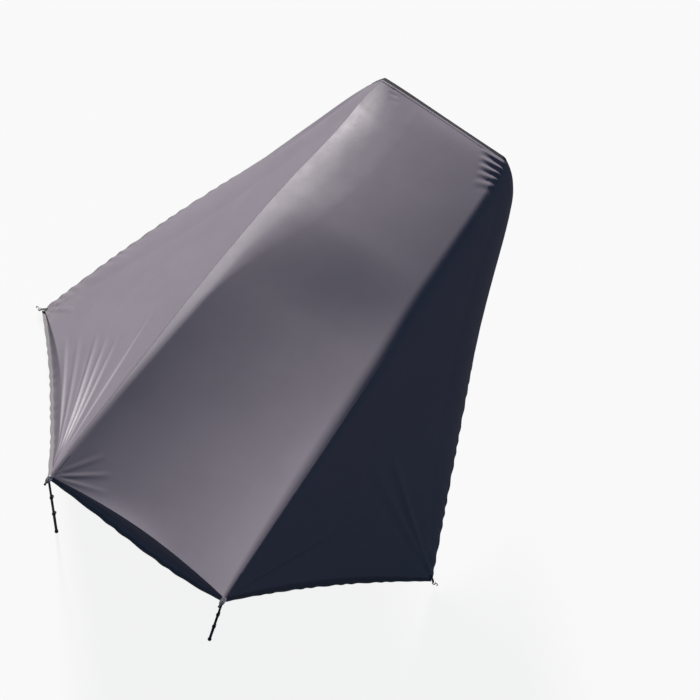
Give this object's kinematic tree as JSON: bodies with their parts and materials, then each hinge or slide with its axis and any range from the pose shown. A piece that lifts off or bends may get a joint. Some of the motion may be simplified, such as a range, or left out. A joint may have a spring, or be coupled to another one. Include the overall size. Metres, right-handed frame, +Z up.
{
  "type": "vehicle rear awning",
  "caption": "Fabric canopy from a car's rear roof edge over the raised tailgate to telescopic poles and pegged wing corners, with hook straps, guy loops and clamp levers.",
  "frame": {"origin": "under the middle of the front collar, on the rear edge of the car's roof; the ground is 1.75 m below", "axes": "+Z up, +Y backwards away from the car, +X to the car's left; the object is mirrored about the plane X = 0"},
  "size_m": [4.5712, 4.8486, 2.2571],
  "materials": {
    "canopy": "dark coated polyester, satin",
    "hem": "grey woven binding",
    "webbing": "black woven webbing",
    "elastic": "black braided elastic cord",
    "steel": "zinc plated",
    "tube": "black powder coat",
    "plastic": "moulded nylon",
    "rubber": "black rubber"
  },
  "bodies": {
    "canopy": {"roof_panel": "canopy", "left_wing_panel": "canopy", "right_wing_panel": "canopy", "rear_valance": "canopy", "left_rear_valance": "canopy", "right_rear_valance": "canopy", "rear_hem_tape": "hem", "left_rear_hem_tape": "hem", "right_rear_hem_tape": "hem", "left_front_hem_tape": "hem", "right_front_hem_tape": "hem", "front_collar": "canopy", "collar_elastic": "elastic", "left_pole_patch": "canopy", "right_pole_patch": "canopy", "left_pole_grommet": "steel", "right_pole_grommet": "steel", "left_guy_loop": "webbing", "right_guy_loop": "webbing", "left_wing_patch": "canopy", "right_wing_patch": "canopy", "left_peg_webbing": "webbing", "right_peg_webbing": "webbing", "left_hook_strap": "webbing", "right_hook_strap": "webbing"},
    "left_pole_top": {"left_pole_spike": "steel", "left_upper_tube": "tube"},
    "left_pole_middle": {"left_middle_tube": "tube", "left_middle_clamp": "plastic", "left_middle_lever_pin": "steel"},
    "left_pole_bottom": {"left_lower_tube": "tube", "left_lower_clamp": "plastic", "left_lower_lever_pin": "steel", "left_pole_foot": "rubber"},
    "left_upper_cam": {"left_middle_lever": "plastic"},
    "left_lower_cam": {"left_lower_lever": "plastic"},
    "left_ring": {"left_peg_ring": "steel"},
    "left_peg": {"left_ground_peg": "steel"},
    "left_buckle": {"left_strap_adjuster": "plastic"},
    "left_hook": {"left_bumper_hook": "steel"},
    "right_pole_top": {"right_pole_spike": "steel", "right_upper_tube": "tube"},
    "right_pole_middle": {"right_middle_tube": "tube", "right_middle_clamp": "plastic", "right_middle_lever_pin": "steel"},
    "right_pole_bottom": {"right_lower_tube": "tube", "right_lower_clamp": "plastic", "right_lower_lever_pin": "steel", "right_pole_foot": "rubber"},
    "right_upper_cam": {"right_middle_lever": "plastic"},
    "right_lower_cam": {"right_lower_lever": "plastic"},
    "right_ring": {"right_peg_ring": "steel"},
    "right_peg": {"right_ground_peg": "steel"},
    "right_buckle": {"right_strap_adjuster": "plastic"},
    "right_hook": {"right_bumper_hook": "steel"}
  },
  "joints": [
    {"name": "left_pole_lean", "type": "hinge", "parent": "canopy", "child": "left_pole_top", "pos_m": [0.85, 4.765, 0.27764], "axis": [1, 0, 0], "range_deg": [-10, 10]},
    {"name": "left_middle_slide", "type": "slide", "parent": "left_pole_top", "child": "left_pole_middle", "axis": [0, 0, 1], "range_m": [0, 0.55]},
    {"name": "left_lower_slide", "type": "slide", "parent": "left_pole_middle", "child": "left_pole_bottom", "axis": [0, 0, 1], "range_m": [0, 0.55]},
    {"name": "left_middle_cam", "type": "hinge", "parent": "left_pole_middle", "child": "left_upper_cam", "pos_m": [0.85, 4.7435, -0.37147], "axis": [-1, 0, 0], "range_deg": [0, 110]},
    {"name": "left_bottom_cam", "type": "hinge", "parent": "left_pole_bottom", "child": "left_lower_cam", "pos_m": [0.85, 4.7421, -1.00459], "axis": [-1, 0, 0], "range_deg": [0, 110]},
    {"name": "left_ring_swing", "type": "hinge", "parent": "canopy", "child": "left_ring", "pos_m": [2.23609, 3.15924, -1.72466], "axis": [-0.1029, 0.9531, 0.2846], "range_deg": [-45, 15]},
    {"name": "left_peg_pull", "type": "slide", "parent": "left_ring", "child": "left_peg", "axis": [0.2868, -0.2455, 0.926], "range_m": [0, 0.18]},
    {"name": "left_buckle_slide", "type": "slide", "parent": "canopy", "child": "left_buckle", "axis": [0.0539, 0.5781, -0.8142], "range_m": [-0.03, 0.03]},
    {"name": "left_hook_swing", "type": "hinge", "parent": "canopy", "child": "left_hook", "pos_m": [0.94531, 0.46201, -0.94977], "axis": [-0.0382, 0.816, 0.5768], "range_deg": [-20, 60]},
    {"name": "right_pole_lean", "type": "hinge", "parent": "canopy", "child": "right_pole_top", "pos_m": [-0.85, 4.765, 0.27764], "axis": [1, 0, 0], "range_deg": [-10, 10]},
    {"name": "right_middle_slide", "type": "slide", "parent": "right_pole_top", "child": "right_pole_middle", "axis": [0, 0, 1], "range_m": [0, 0.55]},
    {"name": "right_lower_slide", "type": "slide", "parent": "right_pole_middle", "child": "right_pole_bottom", "axis": [0, 0, 1], "range_m": [0, 0.55]},
    {"name": "right_middle_cam", "type": "hinge", "parent": "right_pole_middle", "child": "right_upper_cam", "pos_m": [-0.85, 4.7435, -0.37147], "axis": [-1, 0, 0], "range_deg": [0, 110]},
    {"name": "right_bottom_cam", "type": "hinge", "parent": "right_pole_bottom", "child": "right_lower_cam", "pos_m": [-0.85, 4.7421, -1.00459], "axis": [-1, 0, 0], "range_deg": [0, 110]},
    {"name": "right_ring_swing", "type": "hinge", "parent": "canopy", "child": "right_ring", "pos_m": [-2.23609, 3.15924, -1.72466], "axis": [-0.1029, -0.9531, -0.2846], "range_deg": [-45, 15]},
    {"name": "right_peg_pull", "type": "slide", "parent": "right_ring", "child": "right_peg", "axis": [-0.2868, -0.2455, 0.926], "range_m": [0, 0.18]},
    {"name": "right_buckle_slide", "type": "slide", "parent": "canopy", "child": "right_buckle", "axis": [-0.0539, 0.5781, -0.8142], "range_m": [-0.03, 0.03]},
    {"name": "right_hook_swing", "type": "hinge", "parent": "canopy", "child": "right_hook", "pos_m": [-0.94531, 0.46201, -0.94977], "axis": [-0.0382, -0.816, -0.5768], "range_deg": [-20, 60]}
  ]
}
